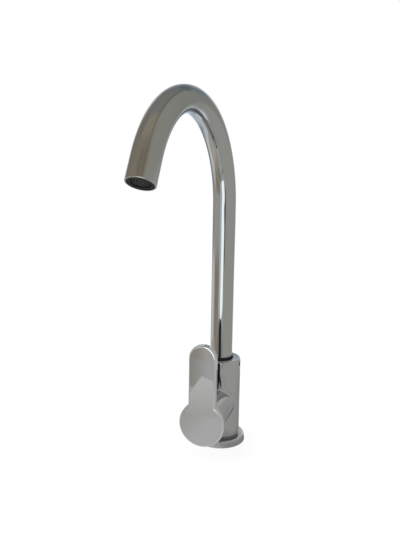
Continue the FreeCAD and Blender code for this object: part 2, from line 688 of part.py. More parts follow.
def make_spout_tube():
    """Bent tube: a straight column, a wide arch and a short straight outlet."""
    tube = new_body("spout_tube")
    path = new_sketch(tube, "tube_path", "YZ_Plane")
    radius = size("archRadius")
    turn_angle = math.radians(size("archTurn"))
    foot = Vector(0, size("tubeStart"), 0)
    bend_start = Vector(0, size("columnTop"), 0)
    centre = Vector(-radius, size("columnTop"), 0)
    bend_end = centre + Vector(radius * math.cos(turn_angle), radius * math.sin(turn_angle), 0)
    outlet = bend_end + Vector(-math.sin(turn_angle), math.cos(turn_angle), 0) * size("outletStraight")
    path.addGeometry(Part.LineSegment(foot, bend_start), False)
    path.addGeometry(Part.ArcOfCircle(Part.Circle(centre, Z_AXIS, radius), 0, turn_angle), False)
    path.addGeometry(Part.LineSegment(bend_end, outlet), False)
    path.addConstraint(Sketcher.Constraint("Tangent", 0, 2, 1, 1))
    path.addConstraint(Sketcher.Constraint("Tangent", 1, 2, 2, 1))
    path.addConstraint(Sketcher.Constraint("Vertical", 0))
    tie(path, "DistanceX", (-1, 1, 0, 1), "0")
    tie(path, "DistanceY", (-1, 1, 0, 1), "tubeStart")
    tie(path, "DistanceY", (-1, 1, 0, 2), "columnTop")
    tie(path, "Radius", (1,), "archRadius")
    tie(path, "Distance", (2,), "outletStraight")
    tie(path, "DistanceX", (-1, 1, 1, 2), "archRadius * (cos(archTurn) - 1)")

    section = new_sketch(tube, "tube_section", "XY_Plane", "tubeStart")
    draw_circle(section, "0", "0", "tubeRadius")
    draw_circle(section, "0", "0", "tubeBore")
    sweep = tube.newObject("PartDesign::AdditivePipe", "tube_bent")
    sweep.Profile = section
    sweep.Spine = (path, ["Edge1", "Edge2", "Edge3"])
    doc.recompute()
    rim_centre = Vector(0, outlet.x, outlet.y)

    foot_centre = Vector(0, 0, size("tubeStart"))

    def outer_edge_at(centre):
        def chosen(edge):
            outside = abs(edge.Length - 2 * math.pi * size("tubeRadius")) < 0.1
            return outside and edge.CenterOfMass.distanceToPoint(centre) < 0.1
        return chosen

    round_edges(tube, "tube_rim_round", "rimRound", outer_edge_at(rim_centre))
    round_edges(tube, "tube_foot_round", "tubeFootRound", outer_edge_at(foot_centre))
    on_spout(tube)


def make_spout_foot():
    """Turned brass foot brazed into the tube, with seats for O-rings, slip rings and the grub screw."""
    def groove(centre, width, floor):
        low = f"{centre} - {width} / 2"
        high = f"{centre} + {width} / 2"
        return (("footRadius", low), (floor, low), (floor, high), ("footRadius", high))

    corners = [("footBore", "footStart"), ("footRadius", "footStart")]
    corners += groove("lowerRingHeight", "ringGrooveWidth", "ringGrooveRadius")
    corners += groove("upperRingHeight", "ringGrooveWidth", "ringGrooveRadius")
    corners += [
        ("footRadius", "bushStart - 0.05"), ("bushGrooveRadius", "bushStart - 0.05"),
        ("bushGrooveRadius", "bushTop + 0.05"), ("footRadius", "bushTop + 0.05"),
    ]
    corners += groove("stopHeight", "lockGrooveWidth", "lockGrooveRadius")
    corners += [
        ("footRadius", "footShoulder"), ("bushGrooveRadius", "footShoulder"),
        ("bushGrooveRadius", "tubeStart"), ("footNeckRadius", "tubeStart"),
        ("footNeckRadius", "footTop"), ("footBore", "footTop"),
    ]
    on_spout(turned("spout_foot", corners))


def make_spout_rings():
    rings = [
        primitive("Part::Torus", name, (0, 0, size(height)), Radius1="ringRadius", Radius2="ringSection")
        for name, height in (("lower_o_ring", "lowerRingHeight"), ("upper_o_ring", "upperRingHeight"))
    ]
    on_spout(combined("Part::Compound", "spout_o_rings", rings))
    on_spout(ring("lower_slip_ring", "bushInner", "bushOuter", "bushStart", "bushTop"))
    on_spout(ring("upper_slip_ring", "bushInner", "bushOuter", "collarStart", "collarTop"))


# ---------------------------------------------------------------- outlet and aerator
def on_outlet(item):
    """Moves a piece drawn on the outlet's own axis to the end of the spout."""
    radius = size("archRadius")
    turn_angle = math.radians(size("archTurn"))
    straight = size("outletStraight")
    forward = radius * (1 - math.cos(turn_angle)) + straight * math.sin(turn_angle)
    height = size("columnTop") + radius * math.sin(turn_angle) + straight * math.cos(turn_angle)
    rim = FreeCAD.Placement(Vector(0, -forward, height), FreeCAD.Rotation(X_AXIS, size("archTurn")))
    item.Placement = swivel() * rim * item.Placement


def make_aerator():
    on_outlet(ring("outlet_sleeve", "sleeveBore", "tubeBore", "sleeveStart", "sleeveEnd"))
    on_outlet(turned("aerator_housing", (
        ("aeratorBore", "aeratorStart"),
        ("aeratorRadius", "aeratorStart"),
        ("aeratorRadius", "aeratorFlangeStart"),
        ("aeratorFlangeRadius", "aeratorFlangeStart"),
        ("aeratorFlangeRadius", "aeratorEnd"),
        ("aeratorLipBore", "aeratorEnd"),
        ("aeratorLipBore", "aeratorLipStart"),
        ("aeratorBore", "aeratorLipStart"),
    )))
    on_outlet(ring("aerator_washer", "washerInner", "sleeveBore", "washerStart", "aeratorStart"))

    # concentric rings standing on a thin floor, with a circle of jet holes in every gap
    corners = [("0", "gridStart"), ("gridRadius", "gridStart")]
    for number in range(GRID_RINGS):
        outside = f"gridRadius - {number} * gridPitch"
        corners += [
            (outside, "gridEnd"), (f"{outside} - gridRing", "gridEnd"), (f"{outside} - gridRing", "gridFloor"),
            (f"gridRadius - {number + 1} * gridPitch", "gridFloor"),
        ]
    corners += [(f"gridRadius - {GRID_RINGS} * gridPitch", "gridEnd"), ("0", "gridEnd")]
    grid = turned("aerator_grid", corners)
    for number in range(GRID_RINGS):
        middle = f"gridRadius - {number} * gridPitch - (gridRing + gridPitch) / 2"
        jet = cut(grid, f"jet_{number + 1}", "XY_Plane", "gridFloor",
                  circles((middle, "0", "gridHoleRadius")), "gridFloor - gridStart")
        repeat_around(grid, jet, JET_HOLES - 2 * number)
    on_outlet(grid)

    screens = []
    for name, station in (("outer_screen", "outerScreen"), ("inner_screen", "innerScreen")):
        blank = Part.makeCylinder(size("screenRadius"), size("screenThickness"), Vector(0, 0, size(station)))
        holes = []
        for number in range(1, SCREEN_RINGS + 1):
            distance = size("screenRadius") * number / (SCREEN_RINGS + 0.7)
            for step in range(6 * number):
                angle = 2 * math.pi * step / (6 * number)
                base = Vector(distance * math.cos(angle), distance * math.sin(angle), size(station) - 1)
                holes.append(Part.makeCylinder(size("screenHoleRadius"), 2, base))
        screen = doc.addObject("Part::Feature", name)
        screen.Shape = blank.cut(holes)
        screens.append(screen)
    on_outlet(combined("Part::Compound", "aerator_screens", screens))

    limiter = turned("flow_limiter", (
        ("0", "limiterStart"), ("gridRadius", "limiterStart"), ("gridRadius", "limiterEnd"), ("0", "limiterEnd")))
    hole = cut(limiter, "limiter_hole", "XY_Plane", "limiterEnd",
               circles(("limiterHoleRing", "0", "limiterHoleRadius")), "limiterEnd - limiterStart")
    repeat_around(limiter, hole, LIMITER_HOLES)
    on_outlet(limiter)


# ---------------------------------------------------------------- build, check and write
def check_and_write():
    doc.recompute()
    failed = [item.Name for item in doc.Objects if {"Invalid", "Error"} & set(item.State)]
    if failed:
        raise RuntimeError(f"failed features: {failed}")
    os.makedirs("parts", exist_ok=True)
    for item in sub_parts:
        shape = item.Shape
        if shape.isNull() or not shape.isValid() or not shape.Solids:
            raise RuntimeError(f"{item.Label} has no valid solid")
    for item in sub_parts:
        item.Shape.exportStep(f"parts/{item.Label}.step")
        print(f"{item.Label}: {len(item.Shape.Solids)} solid(s), {item.Shape.Volume / 1000:.2f} cm3")


make_base()
make_body()
make_spout_screw()
make_cartridge_shell()
make_cartridge_discs()
make_stem_guide()
make_nut_and_cover()
make_stem()
make_lever()
make_spout_tube()
make_spout_foot()
make_spout_rings()
make_aerator()
check_and_write()
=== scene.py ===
"""Looks of a gooseneck bar faucet: chromed column body, flat lever in front and swivel gooseneck.

Metres, +Z up, origin under the middle of the base flange, lever towards -Y.
"""
import math

import bpy
from mathutils import Matrix, Vector

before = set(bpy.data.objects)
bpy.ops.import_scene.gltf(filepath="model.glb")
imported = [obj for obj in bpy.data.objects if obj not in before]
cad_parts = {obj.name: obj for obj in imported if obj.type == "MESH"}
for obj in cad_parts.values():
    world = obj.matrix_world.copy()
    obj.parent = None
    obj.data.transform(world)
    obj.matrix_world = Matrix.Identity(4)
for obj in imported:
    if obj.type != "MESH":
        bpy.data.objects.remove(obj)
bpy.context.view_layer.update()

# ---------------------------------------------------------------- base flange
# A turned brass ring, buffed and chromed, that covers the deck hole. The buffing leaves a faint
# waviness and soft smears in the gloss, which every chromed piece of this tap shares.
NUMBER = "NodeSocketFloat"
COLOUR = "NodeSocketColor"
DIRECTION = "NodeSocketVector"


def group_of(name, inputs):
    """An empty node group that puts out colour, roughness and height: its tree, its inputs and its end."""
    tree = bpy.data.node_groups.new(name, "ShaderNodeTree")
    for label, kind, value in inputs:
        socket = tree.interface.new_socket(name=label, in_out="INPUT", socket_type=kind)
        socket.default_value = value
    for label, kind in (("Color", COLOUR), ("Roughness", NUMBER), ("Height", NUMBER)):
        tree.interface.new_socket(name=label, in_out="OUTPUT", socket_type=kind)
    return tree, tree.nodes.new("NodeGroupInput").outputs, tree.nodes.new("NodeGroupOutput").inputs


def add(tree, kind, sockets=None, **settings):
    """Adds a node. Sockets, by name or number, are linked or set; settings are the node's own."""
    node = tree.nodes.new(kind)
    for key, value in settings.items():
        setattr(node, key, value)
    for key, source in (sockets or {}).items():
        if isinstance(source, bpy.types.NodeSocket):
            tree.links.new(source, node.inputs[key])
        else:
            node.inputs[key].default_value = source
    return node


def ramp(tree, value, low, high, start=0.0, end=1.0, shape="LINEAR"):
    """Start where the value is low, end where it is high, and a blend between."""
    sockets = {"Value": value, "From Min": low, "From Max": high, "To Min": start, "To Max": end}
    return add(tree, "ShaderNodeMapRange", sockets, interpolation_type=shape).outputs["Result"]


def mix(tree, factor, first, second, kind="RGBA"):
    """The first where the factor is 0, and the second where it is 1."""
    sockets = {"Factor": factor, "A": first, "B": second}
    return add(tree, "ShaderNodeMix", sockets, data_type=kind).outputs["Result"]


def combine(tree, operation, first, second):
    """One number made of two."""
    return add(tree, "ShaderNodeMath", {0: first, 1: second}, operation=operation).outputs[0]


def noise(tree, place, scale, detail, roughness=0.5):
    """Cloudy noise at a place, about 0.5."""
    sockets = {"Vector": place, "Scale": scale, "Detail": detail, "Roughness": roughness}
    return add(tree, "ShaderNodeTexNoise", sockets).outputs["Fac"]


def put_out(tree, end, colour, roughness, height):
    """Feeds a group's three outputs."""
    for label, source in (("Color", colour), ("Roughness", roughness), ("Height", height)):
        tree.links.new(source, end[label])


def make_buffed():
    """Buffed metal: slow smears in the gloss, fine level wheel lines and a low waviness."""
    line_stretch = (0.06, 0.06, 1.0)
    line_share = 0.03
    wave_scale = 55.0
    tree, given, end = group_of("buffed", (
        ("Metal", COLOUR, (0.4, 0.4, 0.41, 1)),
        ("Film", COLOUR, (0.36, 0.36, 0.37, 1)),
        ("Gloss Low", NUMBER, 0.05),
        ("Gloss High", NUMBER, 0.1),
        ("Smear Scale", NUMBER, 40.0),
        ("Line Scale", NUMBER, 900.0)))
    place = add(tree, "ShaderNodeTexCoord").outputs["Object"]
    smear = noise(tree, place, given["Smear Scale"], detail=4.0, roughness=0.55)
    stretched = add(tree, "ShaderNodeMapping", {"Vector": place, "Scale": line_stretch}).outputs[0]
    lines = noise(tree, stretched, given["Line Scale"], detail=2.0, roughness=0.6)
    worn = combine(tree, "MULTIPLY", smear, lines)
    gloss = ramp(tree, worn, low=0.12, high=0.38, start=given["Gloss Low"], end=given["Gloss High"])
    tint = mix(tree, ramp(tree, smear, low=0.35, high=0.75), given["Metal"], given["Film"])
    wave = noise(tree, place, wave_scale, detail=1.0)
    height = combine(tree, "ADD", wave, combine(tree, "MULTIPLY", lines, line_share))
    put_out(tree, end, tint, gloss, height)
    return tree


buffed = make_buffed()


def finish_with(name, tree, values, depth, **shader):
    """A material: the group feeds colour, roughness and bump, the rest is set on the shader itself."""
    material = bpy.data.materials.new(name)
    material.use_nodes = True
    nodes = material.node_tree
    surface = next(node for node in nodes.nodes if node.type == "BSDF_PRINCIPLED")
    for key, value in shader.items():
        surface.inputs[key.replace("_", " ")].default_value = value
    group = add(nodes, "ShaderNodeGroup", values, node_tree=tree)
    bump = add(
        nodes, "ShaderNodeBump",
        {"Height": group.outputs["Height"], "Strength": 1.0, "Distance": depth})
    nodes.links.new(group.outputs["Color"], surface.inputs["Base Color"])
    nodes.links.new(group.outputs["Roughness"], surface.inputs["Roughness"])
    nodes.links.new(bump.outputs["Normal"], surface.inputs["Normal"])
    return material


def dress(node, material):
    """Gives a CAD node its material."""
    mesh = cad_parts[node].data
    mesh.materials.clear()
    mesh.materials.append(material)


EDGE_TINT = (0.7, 0.72, 0.75, 1)
body_chrome = finish_with(
    "chrome_on_brass", buffed,
    {"Metal": (0.6, 0.6, 0.6, 1), "Film": (0.57, 0.57, 0.57, 1), "Gloss Low": 0.03, "Gloss High": 0.07,
     "Smear Scale": 35.0, "Line Scale": 900.0},
    depth=0.00002, Metallic=1.0, Specular_Tint=EDGE_TINT)
dress("base_flange", body_chrome)

# ---------------------------------------------------------------- deck gasket and seat ring
# A moulded rubber gasket in the flange's underside, and a smooth dark acetal ring between the flange and
# the body's foot, whose dark tone is painted shade: it stands for the shadowed gap there.


def make_moulded():
    """Moulded plastic or rubber: fine pitted grain, slow changes of gloss and a little handling dust."""
    cloud_scale = 120.0
    tree, given, end = group_of("moulded", (
        ("Fresh", COLOUR, (0.03, 0.03, 0.03, 1)),
        ("Dusty", COLOUR, (0.06, 0.06, 0.06, 1)),
        ("Gloss Low", NUMBER, 0.35),
        ("Gloss High", NUMBER, 0.6),
        ("Grain Scale", NUMBER, 2500.0)))
    place = add(tree, "ShaderNodeTexCoord").outputs["Object"]
    grain = add(tree, "ShaderNodeTexVoronoi", {"Vector": place, "Scale": given["Grain Scale"]})
    cloud = noise(tree, place, cloud_scale, detail=5.0)
    tint = mix(tree, ramp(tree, cloud, low=0.4, high=0.75), given["Fresh"], given["Dusty"])
    gloss = ramp(tree, cloud, low=0.3, high=0.7, start=given["Gloss Low"], end=given["Gloss High"])
    put_out(tree, end, tint, gloss, grain.outputs["Distance"])
    return tree


moulded = make_moulded()


def mould(name, fresh, dusty, gloss, grain, depth, **shader):
    """A moulded material: its colour fresh and dusty, its gloss from and to, and its grain."""
    values = {"Fresh": (*fresh, 1), "Dusty": (*dusty, 1), "Gloss Low": gloss[0], "Gloss High": gloss[1],
              "Grain Scale": grain}
    return finish_with(name, moulded, values, depth, **shader)


rubber = mould(
    "sealing_rubber", fresh=(0.02, 0.02, 0.02), dusty=(0.045, 0.043, 0.04), gloss=(0.55, 0.8),
    grain=1800.0, depth=0.00006)
# painted shade: the seat ring's dark tone stands for the shadowed gap under the body's foot
acetal_painted_shade = mould(
    "acetal_painted_shade", fresh=(0.13, 0.13, 0.135), dusty=(0.155, 0.153, 0.148), gloss=(0.16, 0.3),
    grain=3000.0, depth=0.00001)
dress("base_gasket", rubber)
dress("body_seat_ring", acetal_painted_shade)

# ---------------------------------------------------------------- body casting
# One brass casting, machined, buffed and chromed: the column with its spout socket and, in front, the
# boss that holds the cartridge.
dress("body_casting", body_chrome)

# ---------------------------------------------------------------- spout grub screw
# A small stainless grub screw, turned and left bright, sunk in the body's right side.


def make_turned():
    """Turned metal: fine rings across the piece's own axis, with a little tarnish between them."""
    cloud_scale = 180.0
    tree, given, end = group_of("turned", (
        ("Metal", COLOUR, (0.6, 0.6, 0.6, 1)),
        ("Tarnish", COLOUR, (0.4, 0.4, 0.4, 1)),
        ("Axis", DIRECTION, (0.0, 0.0, 1.0)),
        ("Gloss Low", NUMBER, 0.2),
        ("Gloss High", NUMBER, 0.4),
        ("Ring Scale", NUMBER, 3500.0)))
    place = add(tree, "ShaderNodeTexCoord").outputs["Object"]
    station = add(tree, "ShaderNodeVectorMath", {0: place, 1: given["Axis"]}, operation="DOT_PRODUCT")
    rings = add(
        tree, "ShaderNodeTexNoise",
        {"W": station.outputs["Value"], "Scale": given["Ring Scale"], "Detail": 2.0},
        noise_dimensions="1D").outputs["Fac"]
    cloud = noise(tree, place, cloud_scale, detail=5.0)
    tint = mix(tree, ramp(tree, cloud, low=0.4, high=0.75), given["Metal"], given["Tarnish"])
    gloss = ramp(tree, rings, low=0.3, high=0.7, start=given["Gloss Low"], end=given["Gloss High"])
    put_out(tree, end, tint, gloss, rings)
    return tree


turned = make_turned()


def turn(name, metal, axis):
    """A turned metal with its rings across an axis."""
    return finish_with(name, turned, {**metal, "Axis": axis}, depth=0.00001, Metallic=1.0)


STEEL = {"Metal": (0.5, 0.5, 0.51, 1), "Tarnish": (0.4, 0.4, 0.4, 1), "Gloss Low": 0.2, "Gloss High": 0.35}
ACROSS = (1, 0, 0)
FORWARD = (0, 1, 0)
UPRIGHT = (0, 0, 1)
steel_across = turn("steel_turned_across", STEEL, ACROSS)
dress("spout_grub_screw", steel_across)

# ---------------------------------------------------------------- cartridge
# A plastic shell with a ported base, two lapped ceramic discs and the carrier that slides one of them.
# Rubber rings seal the ports, and the stem's guide turns in the shell's mouth.
white_plastic = mould(
    "white_plastic", fresh=(0.75, 0.75, 0.73), dusty=(0.66, 0.66, 0.63), gloss=(0.3, 0.5),
    grain=3000.0, depth=0.00002)
grey_plastic = mould(
    "grey_plastic", fresh=(0.33, 0.33, 0.34), dusty=(0.4, 0.4, 0.4), gloss=(0.3, 0.5),
    grain=3000.0, depth=0.00002)
ceramic = mould(
    "lapped_ceramic", fresh=(0.82, 0.81, 0.78), dusty=(0.76, 0.75, 0.72), gloss=(0.12, 0.25),
    grain=6000.0, depth=0.000004)
dress("cartridge_shell", white_plastic)
for node in ("cartridge_base", "disc_carrier", "stem_guide"):
    dress(node, grey_plastic)
for node in ("fixed_disc", "moving_disc"):
    dress(node, ceramic)
for node in ("port_seals", "disc_gasket"):
    dress(node, rubber)
dress("stem_pivot_pin", steel_across)

# ---------------------------------------------------------------- retaining nut and cover
# A turned brass nut holds the cartridge in the boss, and a thin chromed ring hides it.
BRASS = {"Metal": (0.66, 0.47, 0.2, 1), "Tarnish": (0.46, 0.32, 0.14, 1), "Gloss Low": 0.18,
         "Gloss High": 0.35}
dress("retaining_nut", turn("brass_turned_forward", BRASS, FORWARD))
dress("cartridge_cover", body_chrome)

# ---------------------------------------------------------------- stem and lever
# A square steel stem carries the lever, one zinc casting: a flat disc with a round-ended tongue. Its
# broad face is buffed by hand; its rounded rim is painted brighter, a painted highlight, and its back is
# left as cast, dull, and painted dark, a painted shade. A grub screw holds it.
dress("stem", turn("steel_turned_forward", STEEL, FORWARD))


def make_plate():
    """A buffed plate that faces -Y: a painted highlight where its front edge turns away, and dull with
    painted shade behind.
    """
    face_ends, rim_starts = -0.997, -0.975
    rim_ends, side_starts = -0.3, -0.1
    edge_ends, back_starts = 0.93, 0.985
    tree, given, end = group_of("plate", (
        ("Metal", COLOUR, (0.5, 0.5, 0.5, 1)),
        ("Film", COLOUR, (0.48, 0.48, 0.48, 1)),
        # the rim's colour is a painted highlight, and the back's colour below is painted shade
        ("Rim Highlight", COLOUR, (0.85, 0.85, 0.85, 1)),
        ("Back", COLOUR, (0.15, 0.15, 0.15, 1)),
        ("Gloss Low", NUMBER, 0.08),
        ("Gloss High", NUMBER, 0.16),
        ("Back Gloss", NUMBER, 0.4),
        ("Smear Scale", NUMBER, 28.0),
        ("Line Scale", NUMBER, 700.0)))
    shared = ("Metal", "Film", "Gloss Low", "Gloss High", "Smear Scale", "Line Scale")
    surface = add(tree, "ShaderNodeGroup", {key: given[key] for key in shared}, node_tree=buffed).outputs
    normal = add(tree, "ShaderNodeTexCoord").outputs["Normal"]
    facing = add(tree, "ShaderNodeSeparateXYZ", {0: normal}).outputs["Y"]
    off_face = ramp(tree, facing, face_ends, rim_starts, shape="SMOOTHSTEP")
    off_side = ramp(tree, facing, rim_ends, side_starts, start=1.0, end=0.0, shape="SMOOTHSTEP")
    # the back's mask carries its painted shade and its dull gloss
    behind = ramp(tree, facing, edge_ends, back_starts, shape="SMOOTHSTEP")
    # the rim's mask, where the painted highlight goes
    rim_highlight_mask = combine(tree, "MULTIPLY", off_face, off_side)
    rim_highlighted = mix(tree, rim_highlight_mask, surface["Color"], given["Rim Highlight"])
    tint = mix(tree, behind, rim_highlighted, given["Back"])
    gloss = mix(tree, behind, surface["Roughness"], given["Back Gloss"], kind="FLOAT")
    put_out(tree, end, tint, gloss, surface["Height"])
    return tree


# painted light: the lever's chrome is set brighter than the body's, with a painted highlight on its rim and
# painted shade on its back
lever_chrome = finish_with(
    "chrome_on_zinc", make_plate(),
    {"Metal": (0.72, 0.72, 0.72, 1), "Film": (0.68, 0.68, 0.68, 1), "Rim Highlight": (0.87, 0.88, 0.9, 1),
     "Back": (0.09, 0.1, 0.11, 1), "Gloss Low": 0.03, "Gloss High": 0.06, "Back Gloss": 0.4,
     "Smear Scale": 28.0, "Line Scale": 700.0},
    depth=0.000015, Metallic=1.0, Specular_Tint=EDGE_TINT)
dress("lever_handle", lever_chrome)
dress("lever_grub_screw", turn("steel_turned_upright", STEEL, UPRIGHT))
dress("lever_plug", grey_plastic)

# ---------------------------------------------------------------- spout
# A drawn tube, bent over a former and chromed, brazed on a turned brass foot. Two O-rings and two
# black slip rings let the foot swivel in the body.
spout_chrome = finish_with(
    "chrome_on_tube", buffed,
    {"Metal": (0.55, 0.55, 0.55, 1), "Film": (0.525, 0.525, 0.525, 1), "Gloss Low": 0.02, "Gloss High": 0.05,
     "Smear Scale": 25.0, "Line Scale": 900.0},
    depth=0.000015, Metallic=1.0, Specular_Tint=EDGE_TINT)
dress("spout_tube", spout_chrome)
dress("spout_foot", turn("brass_turned_upright", BRASS, UPRIGHT))
black_acetal = mould(
    "black_acetal", fresh=(0.012, 0.012, 0.013), dusty=(0.02, 0.02, 0.02), gloss=(0.45, 0.65),
    grain=3000.0, depth=0.00002, Specular_IOR_Level=0.2)
dress("spout_o_rings", rubber)
for node in ("lower_slip_ring", "upper_slip_ring"):
    dress(node, black_acetal)

# ---------------------------------------------------------------- outlet and aerator
# A brass sleeve in the tube's end takes a black plastic aerator: housing, dark grey ringed grid, two
# steel screens and a flow limiter, sealed by a washer.
OUTLET_AXIS = (0.029, 0.433, 0.901)
aerator_black = mould(
    "aerator_black", fresh=(0.02, 0.017, 0.02), dusty=(0.028, 0.025, 0.027), gloss=(0.5, 0.7),
    grain=3500.0, depth=0.00002, Specular_IOR_Level=0.1)
grid_grey = mould(
    "aerator_grid_grey", fresh=(0.055, 0.051, 0.053), dusty=(0.068, 0.064, 0.064), gloss=(0.5, 0.7),
    grain=3500.0, depth=0.00002, Specular_IOR_Level=0.1)
dress("outlet_sleeve", turn("brass_turned_outlet", BRASS, OUTLET_AXIS))
dress("aerator_housing", aerator_black)
dress("aerator_grid", grid_grey)
dress("aerator_screens", turn("steel_screen", STEEL, OUTLET_AXIS))
dress("flow_limiter", white_plastic)
dress("aerator_washer", rubber)

# ---------------------------------------------------------------- floor and backdrop
# A plain pale floor that runs on into a white backdrop. It takes the tap's soft shadow.
FLOOR_HALF = 6.0
FLOOR_PAINT = (0.86, 0.86, 0.86, 1)
WHITE_SHARE = 0.7
WHITE_GLOW = 1.15
AMBIENT = 0.75


def node_of(tree, kind):
    """The node of a kind that a new material or world starts with."""
    return next(node for node in tree.nodes if node.type == kind)


def seen_white(tree):
    """1 for camera, glossy and transmission rays, which see the floor and backdrop as white."""
    path = add(tree, "ShaderNodeLightPath").outputs
    seen = combine(tree, "MAXIMUM", path["Is Camera Ray"], path["Is Glossy Ray"])
    return combine(tree, "MAXIMUM", seen, path["Is Transmission Ray"])


floor_material = bpy.data.materials.new("pale_floor")
floor_material.use_nodes = True
tree = floor_material.node_tree
paint = node_of(tree, "BSDF_PRINCIPLED")
paint.inputs["Base Color"].default_value = FLOOR_PAINT
paint.inputs["Roughness"].default_value = 0.9
paint.inputs["Specular IOR Level"].default_value = 0.0
glow = add(tree, "ShaderNodeEmission", {"Color": (1, 1, 1, 1), "Strength": WHITE_GLOW})
share = combine(tree, "MULTIPLY", seen_white(tree), WHITE_SHARE)
mixed = add(tree, "ShaderNodeMixShader", {0: share, 1: paint.outputs[0], 2: glow.outputs[0]})
tree.links.new(mixed.outputs[0], node_of(tree, "OUTPUT_MATERIAL").inputs["Surface"])

floor_mesh = bpy.data.meshes.new("floor")
floor_corners = [(x * FLOOR_HALF, y * FLOOR_HALF, 0) for x, y in ((-1, -1), (1, -1), (1, 1), (-1, 1))]
floor_mesh.from_pydata(floor_corners, [], [(0, 1, 2, 3)])
floor_mesh.materials.append(floor_material)
floor = bpy.data.objects.new("floor", floor_mesh)
bpy.context.scene.collection.objects.link(floor)

world = bpy.data.worlds.new("studio")
bpy.context.scene.world = world
world.use_nodes = True
tree = world.node_tree
sky = node_of(tree, "BACKGROUND")
sky.inputs["Color"].default_value = (1, 1, 1, 1)
strength = ramp(tree, seen_white(tree), low=0.0, high=1.0, start=AMBIENT, end=1.0)
tree.links.new(strength, sky.inputs["Strength"])

# ---------------------------------------------------------------- light tent
# Chrome shows only what stands round it, so the tap stands in a tent, as such ware is: its grey cloth is
# painted tones that glow, seen only in reflections. A window opens in front with a dark post beside it, and
# the wall behind is pale.
TENT_CENTRE = Vector((-0.12, -0.03, 0.2))
TENT_RADIUS = Vector((0.33, 0.42, 0.42))
# directions are measured in degrees from a point in the spout's column: azimuth is 0 in front and 90 at
# the right, elevation is above the level, and a lean is to the right or to the front of straight up
EYE = Vector((0.0, -0.02, 0.29))

# the wall is grey, and a darker grey above HIGH_FROM
WALL_GREY = (0.46, 0.46, 0.43)
HIGH_GREY = (0.38, 0.38, 0.34)
HIGH_FROM = 12
HIGH_SOFT = 16

# each patch: lean right from and to, lean front from and to, softness, colour
ROOF_PATCHES = (
    (-140, 14, -76, 62, 5, (0.29, 0.29, 0.27)),
    (7, 14, -70, 46, 4, (0.23, 0.24, 0.21)),
)

# a brown curtain hangs at the front left in soft pleats, lighter above and darker towards its right
PLEAT_WIDTH = 18
PLEAT_SHIFT = 16
PLEAT_DEPTH = 0.06
# each patch: azimuth from and to, elevation from and to, softness, colour
CURTAIN_PATCHES = (
    (-95, 20, 16, 56, 12, (0.31, 0.275, 0.215)),
    (-42, 10, 41, 60, 8, (0.36, 0.335, 0.26)),
    (-66, -44, 38, 56, 8, (0.27, 0.26, 0.21)),
    (-18, 14, 16, 33, 6, (0.265, 0.235, 0.18)),
)
BACK_PATCHES = (
    (-195, -104, -5, 50, 20, (0.79, 0.78, 0.74)),
    (-190, -140, -60, 46, 20, (0.81, 0.88, 0.95)),
    (-186, -128, 44, 60, 14, (0.42, 0.49, 0.53)),
    (-186, -148, -12, 6, 10, (0.72, 0.78, 0.86)),
    (-186, -165, -18, -8, 4, (0.39, 0.43, 0.48)),
    (140, 200, 58, 74, 10, (0.2, 0.23, 0.25)),
    (148, 176, 36, 60, 14, (0.3, 0.34, 0.36)),
)
LEFT_PATCHES = (
    (-130, -95, -18, 6, 14, (0.47, 0.47, 0.44)),
    (-132, -80, -50, -16, 14, (0.73, 0.73, 0.73)),
    (-124, -98, -36, -17, 7, (0.9, 0.9, 0.91)),
    (-142, -118, -14, 2, 6, (0.34, 0.35, 0.36)),
    (-92, -38, -15, 2, 8, (0.5, 0.48, 0.44)),
    (-76, -22, -60, -17, 8, (0.35, 0.31, 0.25)),
    (-60, -24, -60, -29, 5, (0.39, 0.36, 0.29)),
    (-24, -14.5, -60, -29, 5, (0.32, 0.31, 0.275)),
    (-14.5, -4, -60, -29, 4, (0.45, 0.45, 0.44)),
)
WINDOW_PATCHES = (
    (-26, -5, -31, 4, 5, (0.64, 0.75, 0.77)),
    (-9, 13, -12, 12, 6, (1.47, 1.61, 1.71)),
    (3, 28, -50, -38, 5, (0.3, 0.31, 0.3)),
    (1, 28, -41.5, -30, 3, (0.5, 0.52, 0.5)),
    (-7, 18, -34, -9, 3, (1.55, 1.62, 1.64)),
)
POST_PATCHES = (
    (16, 32, -12, 12, 5, (0.14, 0.14, 0.12)),
    (22, 32, -24, -9, 5, (0.18, 0.19, 0.17)),
)
LOW_BACK_PATCHES = (
    (158, 200, -60, -16, 22, (0.99, 1.02, 1.03)),
)
PLAIN_PATCHES = BACK_PATCHES + LEFT_PATCHES + WINDOW_PATCHES + POST_PATCHES + LOW_BACK_PATCHES

FLOOR_GREY = (0.43, 0.43, 0.41)
# each patch: x from and to, y from and to, softness, all in metres, and colour
FLOOR_PATCHES = (
    (-0.7, -0.11, 0.09, 0.7, 0.09, (0.79, 0.85, 0.91)),
    (-0.7, -0.09, -0.15, 0.07, 0.08, (0.58, 0.54, 0.45)),
    (-0.085, 0.025, -0.02, 0.4, 0.05, (0.29, 0.31, 0.3)),
    (0.025, 0.07, 0.08, 0.3, 0.04, (0.5, 0.52, 0.54)),
    (-0.7, -0.13, -0.7, -0.2, 0.08, (0.38, 0.34, 0.27)),
    (-0.4, -0.14, -0.23, -0.13, 0.05, (0.45, 0.4, 0.31)),
    (-0.2, -0.12, -0.45, -0.24, 0.02, (0.29, 0.28, 0.25)),
    (-0.095, 0.3, -0.45, -0.25, 0.045, (0.45, 0.46, 0.46)),
    (-0.075, 0.06, -0.26, -0.07, 0.05, (0.53, 0.53, 0.53)),
    (-0.12, -0.04, -0.26, -0.1, 0.04, (0.44, 0.435, 0.41)),
    # this darker patch beside the flange's right is the flange's painted shadow on the cloth
    (0.012, 0.043, -0.04, 0.02, 0.012, (0.33, 0.33, 0.33)),
    (-0.02, 0.01, -0.045, -0.025, 0.012, (0.6, 0.62, 0.62)),
)


